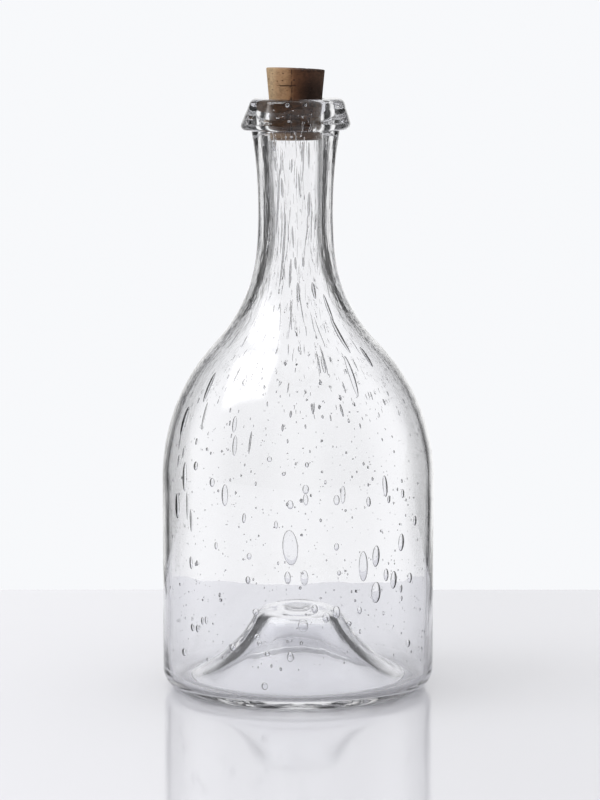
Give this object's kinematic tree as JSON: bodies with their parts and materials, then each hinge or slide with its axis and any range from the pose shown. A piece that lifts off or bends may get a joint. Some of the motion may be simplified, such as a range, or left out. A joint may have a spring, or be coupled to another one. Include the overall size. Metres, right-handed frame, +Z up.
{
  "type": "glass bottle with cork stopper",
  "caption": "Empty hand-blown clear glass bottle with rounded shoulder, waisted neck, flared collar and deep punt, closed by a tapered cork stopper.",
  "frame": {"origin": "middle of the foot ring, in the plane that the bottle stands on", "axes": "+Z up along the bottle's axis, towards the cork. The front is -Y. The cork's cut top falls from -X towards +X."},
  "size_m": [0.11, 0.11, 0.2513],
  "materials": {
    "seeded_glass": "gloss",
    "natural_cork": "matte"
  },
  "bodies": {
    "root": {"glass_bottle": "seeded_glass", "cork_stopper": "natural_cork"}
  },
  "joints": []
}
